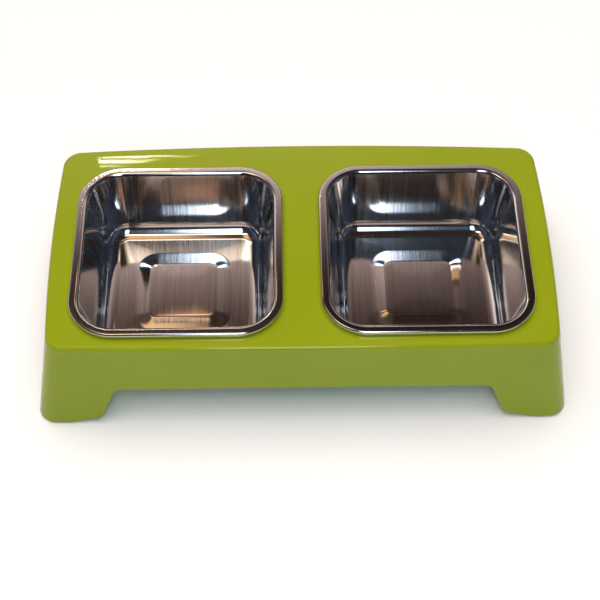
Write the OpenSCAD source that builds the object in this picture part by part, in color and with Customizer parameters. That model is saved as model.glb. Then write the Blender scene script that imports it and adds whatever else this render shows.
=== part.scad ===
// Double pet bowl: two pressed steel bowls that lift out of a raised one-piece stand.
// Millimetres. X runs along the width, Y towards the back, Z up.
// The origin lies on the surface it stands on, under the middle of the stand's outline.

/* [Bowls] */
// Outside width of a bowl's square rim
rim_w = 140; // [124:1:160]
// Corner radius of the rim, seen from above
rim_corner_r = 30; // [28:1:40]
// Gap between the two rims
rim_gap = 24.4; // [16:0.2:60]
// Width of the rim with its lip, from the outer edge to where the wall's line meets the rim
rim_band = 6.5; // [5.8:0.1:8]
// Radius of the rolled outer edge, at its top and at its bottom
curl_r = 1.5; // [1.2:0.1:1.7]
// Height of the rolled edge's upright part, between its two roundings
curl_drop = 1.2; // [0.4:0.1:1.6]
// Angle that the rolled edge turns through, from the top of the rim
curl_turn = 240; // [180:5:250]
// Radius where the band turns down into the bowl
lip_r = 3; // [2:0.1:4.5]
// Depth from the top of the rim to the floor
bowl_depth = 51; // [38:1:60]
// How far a wall leans in from the band to the floor
wall_run = 9.7; // [6:0.1:12]
// Radius between the walls and the floor, on the inside
floor_r = 10.5; // [5:0.5:13]
// Thickness of the steel sheet
sheet_t = 0.7; // [0.5:0.1:0.9]
// Width of the raised square in the floor
plateau_w = 46; // [30:1:54]
// Corner radius of the raised square
plateau_corner_r = 5; // [3:0.5:10]
// Height of the raised square above the floor
plateau_h = 2; // [1:0.1:4]
// Width of the slope round the raised square
plateau_slope_w = 11; // [6:0.5:14]

/* [Stand] */
// Height of the stand's top above the surface it stands on
stand_h = 72.5; // [62:0.5:90]
// Thickness of the moulded walls and top
wall_t = 3; // [2:0.1:4]
// Room between a rim and the stand's side edge
side_margin = 15.5; // [10:0.5:40]
// Room between the rims and the stand's front edge
front_margin = 8.2; // [6:0.1:40]
// Room between the rims and the stand's back edge
back_margin = 22.9; // [6:0.1:50]
// Outward bow of the side edges
side_bow = 3; // [0.5:0.1:6]
// Outward bow of the front edge
front_bow = 1.7; // [0.5:0.1:6]
// Outward bow of the back edge
back_bow = 4.7; // [0.5:0.1:8]
// Lean of the outer walls away from upright, in degrees
draft = 10.5; // [4:0.5:14]
// Corner radius of the stand, seen from above
stand_corner_r = 11; // [8:0.5:16]
// Radius along the stand's top edge
top_edge_r = 3; // [1.5:0.5:5]
// Radius inside the stand, between its top and walls
inner_edge_r = 2; // [1:0.5:4]
// Clearance all round between a bowl's wall and its hole
hole_clear = 0.9; // [0.5:0.1:1.1]
// Clearance under the rolled edge, above the stand's top
seat_clear = 0.3; // [0.2:0.05:0.5]

/* [Legs and arches] */
// Length of a leg along the bottom, out to the stand's widest point
leg_l = 45.7; // [38:0.1:52]
// Height of the arches above the legs' soles
arch_h = 32.3; // [20:0.1:40]
// Extra height in the middle of the long arches
arch_rise = 1.3; // [0.2:0.1:4]
// Lean of the arches' ends away from upright, in degrees
arch_lean = 22.8; // [5:0.2:30]
// Height of the sole's inner end above its flat part
sole_rise = 4.6; // [1:0.1:8]
// Length of the sloping part of the sole
sole_slope_l = 22.8; // [12:0.2:24]
// Radius in the arches' upper corners
arch_corner_r = 7; // [2:0.5:9]
// Radius at the legs' inner corners
leg_corner_r = 8; // [2:0.5:9]

/* [Feet] */
// Radius of a rubber foot
foot_r = 6.5; // [5:0.1:7]
// Thickness of a foot's pad
pad_t = 2.7; // [2:0.1:3.5]
// How far a foot stands out below the leg's sole
foot_out = 1.2; // [0.8:0.1:1.8]
// Radius of a foot's stem
stem_r = 2.4; // [1.6:0.1:2.6]
// Length of the stem between the pad and its barb
stem_l = 3; // [2:0.1:5]
// Radius of the barb that holds the foot in
barb_r = 3; // [2.8:0.1:3.6]
// Length of the barb
barb_l = 2.4; // [1.5:0.1:3]
// Clearance between a foot and its socket
foot_clear = 0.1; // [0.05:0.01:0.2]
// Radius of the post that holds a foot
post_r = 8.6; // [8:0.1:9.5]
// Height of that post above the sole
post_h = 13; // [11:0.1:18]
// Distance from a leg's two outer faces to the middle of its foot
foot_inset = 10.6; // [9.5:0.1:11.5]

/* [Hidden] */

$fn = 48;
// Steps in a curl's upper and lower rounding, in the lip and in the floor radius
curl_top_steps = 6;
curl_low_steps = 10;
lip_steps = 8;
floor_steps = 8;
// Steps in the stand's long sides, short sides, corners and edge radius
long_steps = 16;
short_steps = 10;
corner_steps = 6;
edge_steps = 4;
roof_steps = 12;
// Overrun of the cutting shapes
over = 5;

lime = [0.58, 0.66, 0.12];
steel = [0.72, 0.72, 0.74];
rubber = [0.08, 0.08, 0.08];

// Places of the bowls
bowl_x = (rim_w + rim_gap) / 2;
bowl_y = (front_margin - back_margin) / 2;
rim_z = stand_h + seat_clear + 2 * curl_r + curl_drop;

// A bowl's section, seen along one wall: x from the bowl's middle, y down from the rim's top
corner_x = rim_w / 2 - rim_corner_r;
lip_x = rim_w / 2 - rim_band;
floor_x = lip_x - wall_run;
wall_lean = atan(wall_run / bowl_depth);
bend_share = 1 / tan((90 + wall_lean) / 2);
lip_c = [lip_x + lip_r * bend_share, -lip_r];
floor_c = [floor_x - floor_r * bend_share, floor_r - bowl_depth];
curl_top_c = [rim_w / 2 - curl_r, -curl_r];
curl_low_c = curl_top_c - [0, curl_drop];

// The bowl's outside, level with the stand's top
wall_out_x = lip_x - (rim_z - stand_h) * tan(wall_lean) + sheet_t / cos(wall_lean);
hole_x = wall_out_x + hole_clear;

// The stand's outline at its top, its two edges in Y, and its spread down to the soles
top_w = 2 * rim_w + rim_gap + 2 * side_margin;
top_d = rim_w + front_margin + back_margin;
sole_spread = (stand_h - foot_out) * tan(draft);
sole_w = top_w + 2 * sole_spread;
sole_d = top_d + 2 * sole_spread;

// Places of the feet
foot_x = sole_w / 2 - side_bow - foot_inset;
foot_front_y = foot_inset + front_bow - sole_d / 2;
foot_back_y = sole_d / 2 - back_bow - foot_inset;

// How far the arches' cutting shape runs below the soles, clear of its own round corners
arch_below = 3 * (arch_corner_r + leg_corner_r);

// Points on an arc, from angle a to angle b in so many steps
function arc(c, r, a, b, steps) = [
  for (i = [0:steps])
    let (t = a + (b - a) * i / steps)
      [c[0] + r * cos(t), c[1] + r * sin(t)]
];

function reversed(list) = [for (i = [len(list) - 1:-1:0]) list[i]];

// One face of the sheet, set back by d from the face that holds the food
function sheet_face(d) = concat(
  [[corner_x, -bowl_depth - d]],
  arc(floor_c, floor_r + d, -90, -wall_lean, floor_steps),
  arc(lip_c, lip_r - d, 180 - wall_lean, 90, lip_steps),
  arc(curl_top_c, curl_r - d, 90, 0, curl_top_steps),
  arc(curl_low_c, curl_r - d, 0, 90 - curl_turn, curl_low_steps)
);

module sheet_section() {
  polygon(concat(sheet_face(0), reversed(sheet_face(sheet_t))));
}

// Four copies of what is drawn for the +X side of a bowl
module on_four_sides() {
  for (side = [0:3])
    rotate([0, 0, 90 * side])
      children();
}

// The walls and rim: a straight run on each side and a quarter turn at each corner
module bowl_walls() {
  on_four_sides() {
    translate([0, corner_x, 0])
      rotate([90, 0, 0])
        linear_extrude(height = 2 * corner_x)
          sheet_section();
    translate([corner_x, corner_x, 0])
      rotate_extrude(angle = 90)
        translate([-corner_x, 0])
          sheet_section();
  }
}

// A square with round corners and sloping sides, from its foot up to its top
module rounded_rise(top_half, top_r, slope_w, h) {
  straight = top_half - top_r;
  for (turn = [0, 90])
    rotate([0, 0, turn])
      translate([0, straight, 0])
        rotate([90, 0, 0])
          linear_extrude(height = 2 * straight)
            polygon([
              [-top_half - slope_w, 0],
              [top_half + slope_w, 0],
              [top_half, h],
              [-top_half, h]
            ]);
  for (sx = [-1, 1], sy = [-1, 1])
    translate([sx * straight, sy * straight, 0])
      cylinder(h = h, r1 = top_r + slope_w, r2 = top_r);
}

// A flat square with round corners
module rounded_square(half, r) {
  square([2 * half, 2 * (half - r)], center = true);
  square([2 * (half - r), 2 * half], center = true);
  for (sx = [-1, 1], sy = [-1, 1])
    translate([sx * (half - r), sy * (half - r)])
      circle(r = r);
}

// The middle of the floor, with its pressed-up square
module bowl_floor() {
  rise_half = plateau_w / 2 + plateau_slope_w;
  rise_r = plateau_corner_r + plateau_slope_w;
  translate([0, 0, -bowl_depth])
    difference() {
      union() {
        translate([-corner_x, -corner_x, -sheet_t])
          cube([2 * corner_x, 2 * corner_x, sheet_t]);
        rounded_rise(plateau_w / 2, plateau_corner_r, plateau_slope_w, plateau_h);
      }
      translate([0, 0, -sheet_t])
        rounded_rise(plateau_w / 2, plateau_corner_r, plateau_slope_w, plateau_h);
      translate([0, 0, -sheet_t - over])
        linear_extrude(height = over)
          rounded_square(rise_half, rise_r);
    }
}

module bowl() {
  color(steel) {
    bowl_walls();
    bowl_floor();
  }
}

// A rounded rectangle from its corners, each point as [x, y]
function rounded_outline(hw, yf, yb, r) =
  let (
    right = arc([hw - r, yb - r], r, 0, 90, corner_steps),
    left = arc([r - hw, yb - r], r, 90, 180, corner_steps),
    front_left = arc([r - hw, yf + r], r, 180, 270, corner_steps),
    front_right = arc([hw - r, yf + r], r, 270, 360, corner_steps)
  )
  concat(
    right,
    between(right[corner_steps], left[0], long_steps),
    left,
    between(left[corner_steps], front_left[0], short_steps),
    front_left,
    between(front_left[corner_steps], front_right[0], long_steps),
    front_right,
    between(front_right[corner_steps], right[0], short_steps)
  );

// The points between two ends of a straight side, without the ends
function between(a, b, steps) = [for (i = [1:steps - 1]) a + (b - a) * i / steps];

// The same outline with its four sides bowed outward
function bowed(p, hw, yf, yb) =
  let (
    middle = (yf + yb) / 2,
    hd = (yb - yf) / 2,
    across_share = p[0] / hw,
    along_share = (p[1] - middle) / hd,
    end_bow = along_share > 0 ? back_bow : front_bow
  )
  [
    p[0] + side_bow * across_share * (1 - pow(along_share, 2)),
    p[1] + end_bow * along_share * (1 - pow(across_share, 2))
  ];

// The stand's outline, spread outward by s from its top edge, at height z
function outline(s, r, z) =
  let (
    hw = top_w / 2 - side_bow + s,
    yf = front_bow - top_d / 2 - s,
    yb = top_d / 2 - back_bow + s
  )
  [
    for (p = rounded_outline(hw, yf, yb, r))
      let (q = bowed(p, hw, yf, yb))
        [q[0], q[1], z]
  ];

// The outlines of a leaning wall and the round edge above it. The shape is closed at
// top_z and at bottom_z, and lies inset by the given distance inside the stand's face
function shell_rings(top_z, bottom_z, inset, corner_r, edge_r) =
  let (
    lean_gap = inset / cos(draft),
    edge_s = (stand_h - top_z) * tan(draft) - lean_gap,
    centre_s = edge_s - edge_r * (1 - sin(draft)) / cos(draft),
    tangent_s = centre_s + edge_r * cos(draft),
    bottom_s = (stand_h - bottom_z) * tan(draft) - lean_gap
  )
  concat(
    [outline(bottom_s, corner_r, bottom_z)],
    [
      for (i = [0:edge_steps])
        let (
          t = draft + (90 - draft) * i / edge_steps,
          s = centre_s + edge_r * cos(t)
        )
          outline(s, corner_r - (tangent_s - s), top_z - edge_r + edge_r * sin(t))
    ]
  );

// A closed solid through a list of outlines, from the lowest to the highest
module loft(rings) {
  n = len(rings[0]);
  top = len(rings) - 1;
  points = [for (ring = rings) each ring];
  sides = [
    for (k = [0:top - 1], i = [0:n - 1])
      let (j = (i + 1) % n)
        each [
          [k * n + i, (k + 1) * n + i, (k + 1) * n + j],
          [k * n + i, (k + 1) * n + j, k * n + j]
        ]
  ];
  bottom_cap = [for (i = [0:n - 1]) i];
  top_cap = [for (i = [n - 1:-1:0]) top * n + i];
  polyhedron(points = points, faces = concat([bottom_cap], sides, [top_cap]));
}

// Half of an arch's outline, from its middle to below the sole, for legs that start at
// half_span from the middle
function arch_half(half_span, rise) =
  let (
    foot_end = half_span - leg_l,
    roof_end = foot_end - (arch_h - sole_rise) * tan(arch_lean)
  )
  concat(
    [
      for (i = [0:roof_steps])
        let (share = i / roof_steps)
          [roof_end * share, arch_h + rise * (1 - pow(share, 2))]
    ],
    [
      [foot_end, sole_rise],
      [foot_end + sole_slope_l, 0],
      [foot_end + sole_slope_l, -arch_below]
    ]
  );

// The opening under one pair of sides, with round corners
module arch(half_span, rise) {
  half = arch_half(half_span, rise);
  mirrored = [for (p = reversed(half)) [-p[0], p[1]]];
  offset(r = arch_corner_r)
    offset(r = -arch_corner_r - leg_corner_r)
      offset(r = leg_corner_r)
        polygon(concat(half, mirrored));
}

// Something that follows at each of the four feet
module at_feet() {
  for (x = [-foot_x, foot_x], y = [foot_front_y, foot_back_y])
    translate([x, y, 0])
      children();
}

// A foot's section: radius and height. The socket is the same section with clearance
function foot_section(gap) = [
  [0, 0],
  [foot_r + gap, 0],
  [foot_r + gap, pad_t + gap],
  [stem_r + gap, pad_t + gap],
  [stem_r + gap, pad_t + stem_l - gap],
  [barb_r + gap, pad_t + stem_l - gap],
  [barb_r + gap, pad_t + stem_l + barb_l / 3],
  [stem_r, pad_t + stem_l + barb_l + gap],
  [0, pad_t + stem_l + barb_l + gap]
];

module stand() {
  color(lime)
    difference() {
      loft(shell_rings(stand_h, foot_out, 0, stand_corner_r, top_edge_r));
      // The hollow underside, left solid at the four posts
      difference() {
        loft(shell_rings(
          stand_h - wall_t, foot_out - over, wall_t, stand_corner_r - wall_t, inner_edge_r
        ));
        at_feet()
          translate([0, 0, foot_out - over])
            cylinder(h = over + post_h, r = post_r);
      }
      // The two holes that the bowls drop into
      for (x = [-bowl_x, bowl_x])
        translate([x, bowl_y, stand_h - wall_t - over])
          linear_extrude(height = wall_t + 2 * over)
            rounded_square(hole_x, hole_x - corner_x);
      // The arches at the front and back, and at the two sides
      translate([0, sole_d / 2 + over, foot_out])
        rotate([90, 0, 0])
          linear_extrude(height = sole_d + 2 * over)
            arch(sole_w / 2, arch_rise);
      translate([-sole_w / 2 - over, 0, foot_out])
        rotate([90, 0, 90])
          linear_extrude(height = sole_w + 2 * over)
            arch(sole_d / 2, 0);
      // The sockets for the feet
      at_feet()
        rotate_extrude()
          polygon(foot_section(foot_clear));
    }
}

module left_bowl() {
  translate([-bowl_x, bowl_y, rim_z])
    bowl();
}

module right_bowl() {
  translate([bowl_x, bowl_y, rim_z])
    bowl();
}

module foot() {
  color(rubber)
    rotate_extrude()
      polygon(foot_section(0));
}

module front_left_foot() {
  translate([-foot_x, foot_front_y, 0])
    foot();
}

module front_right_foot() {
  translate([foot_x, foot_front_y, 0])
    foot();
}

module back_left_foot() {
  translate([-foot_x, foot_back_y, 0])
    foot();
}

module back_right_foot() {
  translate([foot_x, foot_back_y, 0])
    foot();
}

stand();
left_bowl();
right_bowl();
front_left_foot();
front_right_foot();
back_left_foot();
back_right_foot();
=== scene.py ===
"""Looks of the double pet bowl: a glossy moulded stand, two pressed steel bowls and four feet.

Lengths are in metres and angles in radians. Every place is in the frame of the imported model:
X along the width, Y towards the back, Z up from the surface that the feet rest on.
"""

import logging
import math
from dataclasses import dataclass, field
from enum import Enum

import bpy
import numpy as np
from mathutils import Matrix, Vector


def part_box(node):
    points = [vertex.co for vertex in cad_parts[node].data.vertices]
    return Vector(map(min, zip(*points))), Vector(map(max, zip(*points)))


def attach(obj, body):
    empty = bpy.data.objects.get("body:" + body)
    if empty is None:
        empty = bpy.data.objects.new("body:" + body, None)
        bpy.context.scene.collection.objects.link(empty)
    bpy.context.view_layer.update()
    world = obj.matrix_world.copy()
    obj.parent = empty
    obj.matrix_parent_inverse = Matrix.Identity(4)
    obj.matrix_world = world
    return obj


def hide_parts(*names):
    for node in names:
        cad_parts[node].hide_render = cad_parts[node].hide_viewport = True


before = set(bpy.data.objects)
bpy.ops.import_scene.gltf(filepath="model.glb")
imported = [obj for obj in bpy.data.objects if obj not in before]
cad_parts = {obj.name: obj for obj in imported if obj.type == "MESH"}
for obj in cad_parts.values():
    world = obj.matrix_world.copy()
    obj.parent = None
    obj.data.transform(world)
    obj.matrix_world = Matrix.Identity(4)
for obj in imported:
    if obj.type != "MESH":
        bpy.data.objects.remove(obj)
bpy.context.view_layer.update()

Object = bpy.types.Object
Mesh = bpy.types.Mesh
Material = bpy.types.Material
Socket = bpy.types.NodeSocket
Triple = tuple[float, float, float]
Colour = tuple[float, float, float, float]
Fade = tuple[float, float, float, float]

LOG = logging.getLogger("double_pet_bowl")
BOWLS = ("left_bowl", "right_bowl")
FEET = ("front_left_foot", "front_right_foot", "back_left_foot", "back_right_foot")
# The mesh attribute that the steel's draw marks follow
DRAW_LINES = "draw_lines"
# Points round a foot or a post
ROUND_STEPS = 64
# The cosine of the angle between faces that makes the edge between them a sharp one
SHARP_EDGE = math.cos(math.radians(42))
# The range that most values of a noise texture lie in
NOISE_LOW = 0.3
NOISE_HIGH = 0.7
# A Mix node's sockets: its share, its two numbers and its two colours, and its colour output
MIX_SHARE = 0
MIX_NUMBERS = (2, 3)
MIX_COLOURS = (6, 7)
MIXED_COLOUR = 2


def unit(vectors: np.ndarray) -> np.ndarray:
    """Scales one vector, or the vector in each row, to length one."""
    return vectors / np.linalg.norm(vectors, axis=-1, keepdims=True)


def arc(centre: tuple[float, float], radius: float, start: float, end: float, steps: int) -> np.ndarray:
    """Gives the points along an arc in a plane, one in each row, from a start to an end angle."""
    angles = np.linspace(start, end, steps + 1)
    return np.array(centre) + radius * np.stack([np.cos(angles), np.sin(angles)], axis=1)


def circle(radius: float) -> np.ndarray:
    """Gives the points of a circle round the origin, anticlockwise."""
    return arc((0, 0), radius, 0, 2 * math.pi, ROUND_STEPS)[:-1]


def round_corners(points: np.ndarray, radii: list[float], steps: int) -> np.ndarray:
    """Rounds the inner corners of an open outline.

    Args:
        points: The outline's corners, one in each row.
        radii: A radius for each corner but the two ends.
        steps: How many steps each rounding takes.

    Returns:
        The rounded outline, one point in each row.
    """
    rounded = [points[:1]]
    for before, corner, after, radius in zip(points, points[1:], points[2:], radii):
        back = unit(before - corner)
        ahead = unit(after - corner)
        half = math.acos(float(back @ ahead)) / 2
        centre = corner + unit(back + ahead) * radius / math.sin(half)
        first = corner + back * radius / math.tan(half) - centre
        last = corner + ahead * radius / math.tan(half) - centre
        rounded.append(centre + turn_between(first, last, steps))
    rounded.append(points[-1:])
    return np.concatenate(rounded)


def turn_between(first: np.ndarray, last: np.ndarray, steps: int) -> np.ndarray:
    """Turns one vector into another of the same length along the shortest arc.

    Args:
        first: The vector at the start, or one in each row.
        last: The vector at the end, in the same layout.
        steps: How many steps the turn takes.

    Returns:
        The vectors along the turn, with a new first axis of steps + 1.
    """
    length = np.linalg.norm(first, axis=-1, keepdims=True)
    angle = np.arccos(np.clip(np.sum(unit(first) * unit(last), axis=-1, keepdims=True), -1, 1))
    shares = np.linspace(0, 1, steps + 1).reshape(-1, *([1] * first.ndim))
    swept = np.sin((1 - shares) * angle) * first + np.sin(shares * angle) * last
    return unit(swept) * length


def densify(points: np.ndarray, longest: float) -> np.ndarray:
    """Adds points to an outline until no gap between two of them is longer than a limit.

    Args:
        points: The outline, one point in each row.
        longest: The longest gap that may stay.

    Returns:
        The denser outline.
    """
    dense = [points[:1]]
    for start, end in zip(points, points[1:]):
        steps = max(1, math.ceil(float(np.linalg.norm(end - start)) / longest))
        shares = np.linspace(0, 1, steps + 1)[1:, None]
        dense.append(start + (end - start) * shares)
    return np.concatenate(dense)


def new_object(name: str, data: bpy.types.ID) -> Object:
    """Makes an object and links it to the scene.

    Args:
        name: The object's name.
        data: Its mesh, light or camera.

    Returns:
        The new object.
    """
    made = bpy.data.objects.new(name, data)
    bpy.context.scene.collection.objects.link(made)
    return made


class MeshMaker:
    """Gathers rings of points, joins them with faces and makes one object of them."""

    def __init__(self) -> None:
        """Starts with no points and no faces."""
        self.points: list[np.ndarray] = []
        self.faces: list[list[int]] = []
        self.count = 0

    def ring(self, points: np.ndarray) -> np.ndarray:
        """Adds points.

        Args:
            points: The points, one in each row.

        Returns:
            Their numbers in the mesh.
        """
        self.points.append(np.asarray(points, float))
        numbers = np.arange(self.count, self.count + len(points))
        self.count += len(points)
        return numbers

    def band(self, lower: np.ndarray, upper: np.ndarray) -> None:
        """Joins two closed rings of the same length with four-sided faces.

        Args:
            lower: The first ring's numbers.
            upper: The second ring's numbers.
        """
        for here in range(len(lower)):
            following = (here + 1) % len(lower)
            self.faces.append([lower[here], lower[following], upper[following], upper[here]])

    def bands(self, rings: list[np.ndarray]) -> None:
        """Joins each ring in a list to the next."""
        for lower, upper in zip(rings, rings[1:]):
            self.band(lower, upper)

    def cap(self, ring: np.ndarray) -> None:
        """Closes a ring, anticlockwise as seen from outside, with one flat face."""
        self.faces.append(list(ring))

    def solid(self, rings: list[np.ndarray]) -> None:
        """Adds a closed solid from the rings of its sides.

        Args:
            rings: The rings' points from the bottom up, anticlockwise as seen from above.
        """
        numbers = [self.ring(points) for points in rings]
        self.bands(numbers)
        self.cap(numbers[0][::-1])
        self.cap(numbers[-1])

    def build(self, name: str, material: Material) -> Object:
        """Makes the object.

        Args:
            name: The object's name.
            material: What it is made of.

        Returns:
            The new object, linked to the scene.
        """
        mesh = bpy.data.meshes.new(name)
        faces = [[int(number) for number in face] for face in self.faces]
        mesh.from_pydata(np.concatenate(self.points).tolist(), [], faces)
        mesh.validate()
        mesh.materials.append(material)
        return new_object(name, mesh)


def shade_smooth(mesh: Mesh) -> None:
    """Shades a mesh smooth, but for its sharp edges, with larger faces counting for more.

    Args:
        mesh: The mesh to shade.
    """
    corner_count = len(mesh.loops)
    vertex_of = np.empty(corner_count, int)
    mesh.loops.foreach_get("vertex_index", vertex_of)
    normals = np.array([face.normal for face in mesh.polygons])
    weighted = normals * np.array([[face.area] for face in mesh.polygons])
    face_of = np.repeat(np.arange(len(normals)), [face.loop_total for face in mesh.polygons])
    order = np.argsort(vertex_of, kind="stable")
    starts = np.searchsorted(vertex_of[order], np.arange(len(mesh.vertices) + 1))
    shaded = np.empty((corner_count, 3))
    for first, last in zip(starts, starts[1:]):
        corners = order[first:last]
        faces = face_of[corners]
        alike = normals[faces] @ normals[faces].T > SHARP_EDGE
        shaded[corners] = alike @ weighted[faces]
    mesh.shade_smooth()
    mesh.normals_split_custom_set(unit(shaded).tolist())


def combine(piece: Object, added: Object, cut: Object) -> None:
    """Unites a solid with another and cuts a third out of both.

    Args:
        piece: The solid that is kept.
        added: The solid that is united with it.
        cut: The solid that is cut out.
    """
    for tool, operation in ((added, "UNION"), (cut, "DIFFERENCE")):
        modifier = piece.modifiers.new(tool.name, "BOOLEAN")
        modifier.operation = operation
        modifier.object = tool
        modifier.solver = "EXACT"
    mesh = bpy.data.meshes.new_from_object(piece.evaluated_get(bpy.context.evaluated_depsgraph_get()))
    piece.modifiers.clear()
    piece.data = mesh
    for tool in (added, cut):
        bpy.data.objects.remove(tool)


class NodeBoard:
    """A node tree, with short calls that add nodes and join them."""

    def __init__(self, owner: bpy.types.ID, output: str) -> None:
        """Starts the tree with only its output node.

        Args:
            owner: The material, light or world that has the tree.
            output: The type of its output node.
        """
        owner.use_nodes = True
        self.owner = owner
        self.tree = owner.node_tree
        self.tree.nodes.clear()
        self.output = self.tree.nodes.new(output)

    def add(
        self, kind: str, inputs: dict[str | int, object] | None = None, **settings: object
    ) -> bpy.types.Node:
        """Adds a node.

        Args:
            kind: The node's type without the leading ShaderNode.
            inputs: What goes into its sockets: a value, or another node's output socket.
            settings: The node's own settings.

        Returns:
            The new node.
        """
        node = self.tree.nodes.new("ShaderNode" + kind)
        for setting, value in settings.items():
            setattr(node, setting, value)
        for socket, value in (inputs or {}).items():
            self.feed(node, socket, value)
        return node

    def feed(self, node: bpy.types.Node, socket: str | int, value: object) -> None:
        """Sets a socket to a value, or joins it to another node's output.

        Args:
            node: The node that takes the value.
            socket: The socket's name or number.
            value: A value or an output socket.
        """
        if isinstance(value, Socket):
            self.tree.links.new(value, node.inputs[socket])
        else:
            node.inputs[socket].default_value = value

    def noise(self, vector: Socket, scale: float, detail: float = 2.0) -> Socket:
        """Adds a noise texture that gives a number from 0 to 1. The detail adds finer layers."""
        node = self.add("TexNoise", {"Vector": vector, "Scale": scale, "Detail": detail})
        return node.outputs["Fac"]

    def stretched(self, vector: Socket, scale: Triple) -> Socket:
        """Stretches a place by a factor along each axis, before a texture reads it."""
        return self.add("Mapping", {"Vector": vector, "Scale": scale}).outputs["Vector"]

    def smooth(self, value: Socket, low: float, high: float) -> Socket:
        """Turns a number into a share that rises smoothly from 0 at low to 1 at high."""
        spread = {"Value": value, "From Min": low, "From Max": high}
        return self.add("MapRange", spread, interpolation_type="SMOOTHSTEP").outputs["Result"]

    def calculate(self, kind: str, first: float | Socket, second: float | Socket = 0.0) -> Socket:
        """Works out one step of arithmetic, such as ADD or MULTIPLY, from two numbers."""
        return self.add("Math", {0: first, 1: second}, operation=kind).outputs[0]

    def ranged(self, value: Socket, low: float, high: float) -> Socket:
        """Spreads a number from the middle of a noise over a range.

        Args:
            value: The number, mostly from NOISE_LOW to NOISE_HIGH.
            low: What NOISE_LOW becomes.
            high: What NOISE_HIGH becomes.

        Returns:
            The new number.
        """
        spread = {
            "Value": value, "From Min": NOISE_LOW, "From Max": NOISE_HIGH, "To Min": low, "To Max": high,
        }
        return self.add("MapRange", spread).outputs["Result"]

    def mixed(self, share: Socket, first: Colour | Socket, second: Colour | Socket) -> Socket:
        """Mixes two colours. The share is how much there is of the second."""
        inputs = {MIX_SHARE: share, MIX_COLOURS[0]: first, MIX_COLOURS[1]: second}
        return self.add("Mix", inputs, data_type="RGBA").outputs[MIXED_COLOUR]

    def between(self, share: Socket, first: Socket, second: Socket) -> Socket:
        """Mixes two numbers. The share is how much there is of the second."""
        inputs = {MIX_SHARE: share, MIX_NUMBERS[0]: first, MIX_NUMBERS[1]: second}
        return self.add("Mix", inputs).outputs[0]

    def bump(self, height: Socket, strength: float, distance: float) -> Socket:
        """Turns a height from 0 to 1, where 1 stands for the distance, into a bumped normal."""
        inputs = {"Height": height, "Strength": strength, "Distance": distance}
        return self.add("Bump", inputs).outputs["Normal"]

    def finish(self, shader: bpy.types.Node) -> bpy.types.ID:
        """Joins the last shader node to the output, and gives back what has the tree."""
        self.tree.links.new(shader.outputs[0], self.output.inputs["Surface"])
        return self.owner


class ShaderBoard(NodeBoard):
    """The node tree of a new material."""

    def __init__(self, name: str) -> None:
        """Makes the material and starts its tree."""
        super().__init__(bpy.data.materials.new(name), "ShaderNodeOutputMaterial")


@dataclass(frozen=True)
class MouldedPlastic:
    """Glossy compression-moulded plastic, coloured all the way through.

    The colour drifts in wide clouds. The surface has slow ripples and a fine moulded grain.
    """

    deep: Colour = (0.238, 0.290, 0.008, 1)
    light: Colour = (0.260, 0.308, 0.011, 1)
    roughness: float = 0.02
    roughness_spread: float = 0.01
    ior: float = 1.345
    cloud_scale: float = 14.0
    ripple_scale: float = 45.0
    ripple_height: float = 0.0004
    grain_scale: float = 900.0
    grain_height: float = 0.000004
    bump_share: float = 0.06

    def material(self) -> Material:
        """Builds the node material.

        Returns:
            The new material.
        """
        board = ShaderBoard("lime_moulding")
        place = board.add("TexCoord").outputs["Object"]
        clouds = board.noise(place, self.cloud_scale)
        ripples = board.noise(place, self.ripple_scale, detail=1.0)
        grain = board.noise(place, self.grain_scale, detail=3.0)
        rippled = board.bump(ripples, self.bump_share, self.ripple_height)
        fine = board.bump(grain, self.bump_share, self.grain_height)
        board.feed(fine.node, "Normal", rippled)
        spread = self.roughness_spread
        shader = board.add("BsdfPrincipled", {
            "Base Color": board.mixed(board.ranged(clouds, 0, 1), self.deep, self.light),
            "Roughness": board.ranged(grain, self.roughness - spread, self.roughness + spread),
            "IOR": self.ior,
            "Normal": fine,
        })
        return board.finish(shader)


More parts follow.
